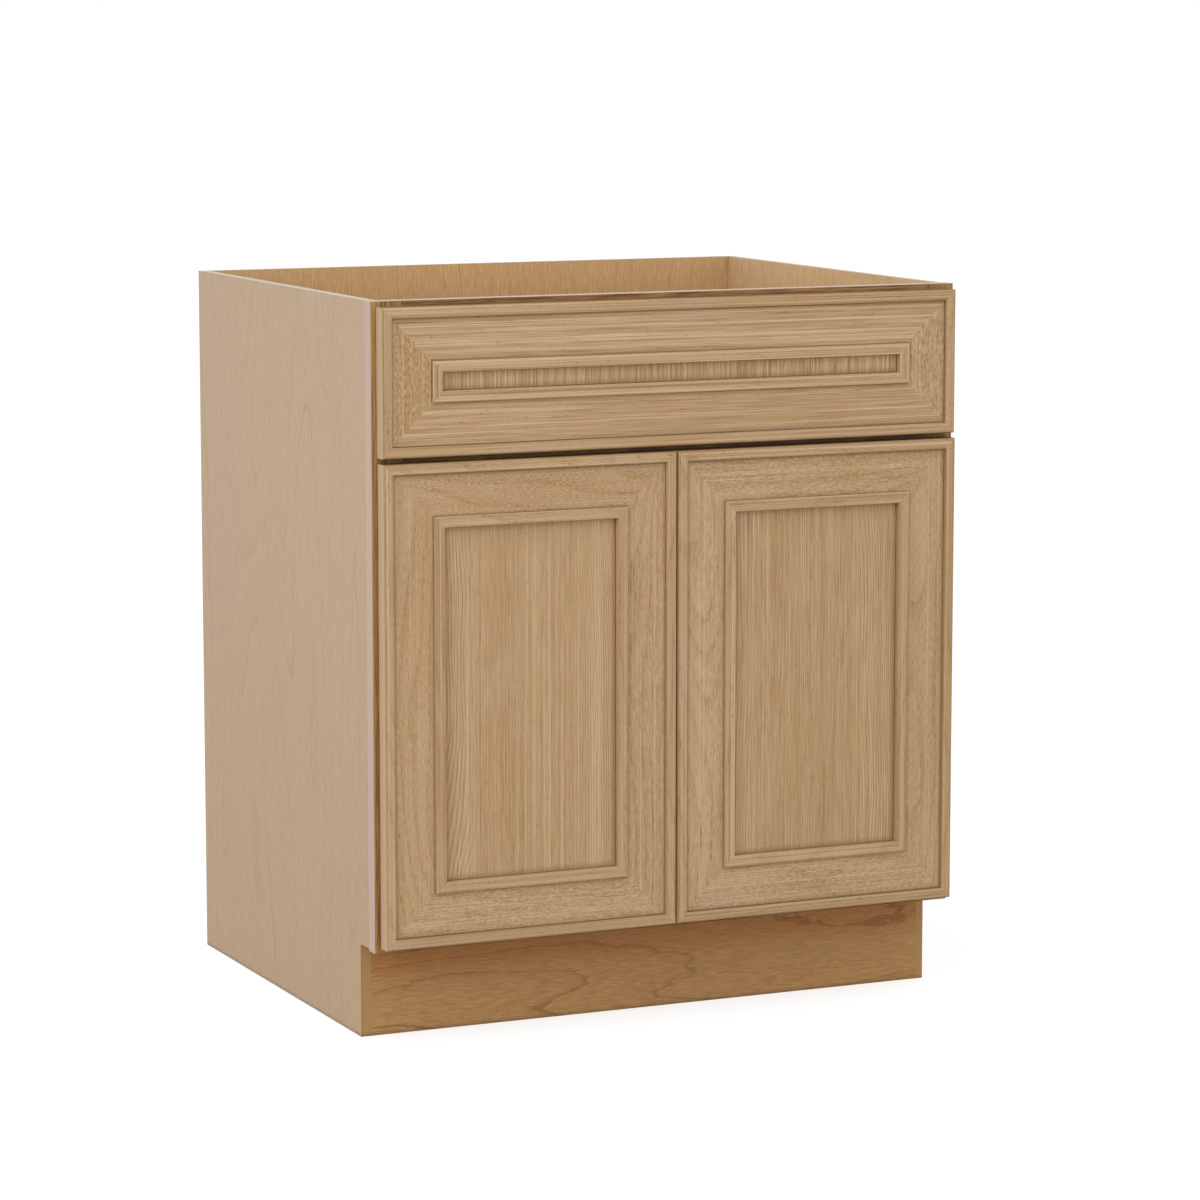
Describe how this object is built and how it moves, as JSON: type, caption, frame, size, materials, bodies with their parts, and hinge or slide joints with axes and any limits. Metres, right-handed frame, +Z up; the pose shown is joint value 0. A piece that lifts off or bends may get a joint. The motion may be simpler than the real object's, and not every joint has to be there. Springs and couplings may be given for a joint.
{
  "type": "kitchen base cabinet",
  "caption": "Face-frame kitchen base cabinet with a full-width drawer over a pair of mitred, flat-panelled doors, an adjustable shelf inside and a recessed toe space.",
  "frame": {"origin": "on the floor at the middle of the cabinet's footprint, doors included", "axes": "+Z up, +Y towards the wall, so the doors and drawer face -Y, +X to the right of someone facing the wall"},
  "size_m": [0.762, 0.6256, 0.8763],
  "materials": {
    "oak": "satin clear coat on oak",
    "maple_veneer_board": "satin maple-grain laminate on board",
    "drawer_board": "clear coat on birch plywood",
    "coated_steel": "off-white epoxy coat",
    "white_nylon": "moulded nylon",
    "nickel_steel": "nickel-plated steel",
    "bumper_rubber": "clear soft bumper"
  },
  "bodies": {
    "case": {"adjustable_shelf": "maple_veneer_board", "back_panel": "maple_veneer_board", "bottom_panel": "maple_veneer_board", "corner_brace_left": "maple_veneer_board", "corner_brace_right": "maple_veneer_board", "finished_end": "maple_veneer_board", "frame_bottom_rail": "oak", "frame_middle_rail": "oak", "frame_stile_left": "oak", "frame_stile_right": "oak", "frame_top_rail": "oak", "front_roller_axles": "nickel_steel", "hinge_arms_left": "nickel_steel", "hinge_arms_right": "nickel_steel", "shelf_pegs": "nickel_steel", "side_panel_left": "maple_veneer_board", "side_panel_right": "maple_veneer_board", "slide_channel_left": "coated_steel", "slide_channel_right": "coated_steel", "slide_socket_left": "white_nylon", "slide_socket_right": "white_nylon", "toe_board": "maple_veneer_board"},
    "drawer": {"drawer_bottom": "drawer_board", "drawer_box_back": "drawer_board", "drawer_box_front": "drawer_board", "drawer_front_bottom_rail": "oak", "drawer_front_bumpers": "bumper_rubber", "drawer_front_inner_stile": "oak", "drawer_front_outer_stile": "oak", "drawer_front_panel": "oak", "drawer_front_top_rail": "oak", "drawer_side_left": "drawer_board", "drawer_side_right": "drawer_board", "rear_roller_axles": "nickel_steel", "slide_runner_left": "coated_steel", "slide_runner_right": "coated_steel"},
    "door_left": {"door_left_bottom_rail": "oak", "door_left_bumpers": "bumper_rubber", "door_left_inner_stile": "oak", "door_left_outer_stile": "oak", "door_left_panel": "oak", "door_left_top_rail": "oak", "hinge_cups_left": "nickel_steel", "hinge_pins_left": "nickel_steel"},
    "door_right": {"door_right_bottom_rail": "oak", "door_right_bumpers": "bumper_rubber", "door_right_inner_stile": "oak", "door_right_outer_stile": "oak", "door_right_panel": "oak", "door_right_top_rail": "oak", "hinge_cups_right": "nickel_steel", "hinge_pins_right": "nickel_steel"},
    "front_roller_left": {"front_roller_left": "white_nylon"},
    "front_roller_right": {"front_roller_right": "white_nylon"},
    "rear_roller_left": {"rear_roller_left": "white_nylon"},
    "rear_roller_right": {"rear_roller_right": "white_nylon"}
  },
  "joints": [
    {"name": "drawer_slide", "type": "slide", "parent": "case", "child": "drawer", "axis": [0, -1, 0], "range_m": [0, 0.4]},
    {"name": "door_left_hinge", "type": "hinge", "parent": "case", "child": "door_left", "pos_m": [-0.36735, -0.3025, 0.4], "axis": [0, 0, -1], "range_deg": [0, 95]},
    {"name": "door_right_hinge", "type": "hinge", "parent": "case", "child": "door_right", "pos_m": [0.36735, -0.3025, 0.4], "axis": [0, 0, 1], "range_deg": [0, 95]},
    {"name": "front_roller_left_spin", "type": "hinge", "parent": "case", "child": "front_roller_left", "pos_m": [-0.3374, -0.2745, 0.72673], "axis": [1, 0, 0], "continuous": true},
    {"name": "rear_roller_left_spin", "type": "hinge", "parent": "drawer", "child": "rear_roller_left", "pos_m": [-0.3357, 0.2279, 0.72623], "axis": [1, 0, 0], "continuous": true},
    {"name": "front_roller_right_spin", "type": "hinge", "parent": "case", "child": "front_roller_right", "pos_m": [0.3374, -0.2745, 0.72673], "axis": [1, 0, 0], "continuous": true},
    {"name": "rear_roller_right_spin", "type": "hinge", "parent": "drawer", "child": "rear_roller_right", "pos_m": [0.3357, 0.2279, 0.72623], "axis": [1, 0, 0], "continuous": true}
  ],
  "couplings": [
    {"joint": "front_roller_left_spin", "follows": "drawer_slide", "rad_per_m": 90.909},
    {"joint": "rear_roller_left_spin", "follows": "drawer_slide", "rad_per_m": 95.238},
    {"joint": "front_roller_right_spin", "follows": "drawer_slide", "rad_per_m": 90.909},
    {"joint": "rear_roller_right_spin", "follows": "drawer_slide", "rad_per_m": 95.238}
  ]
}
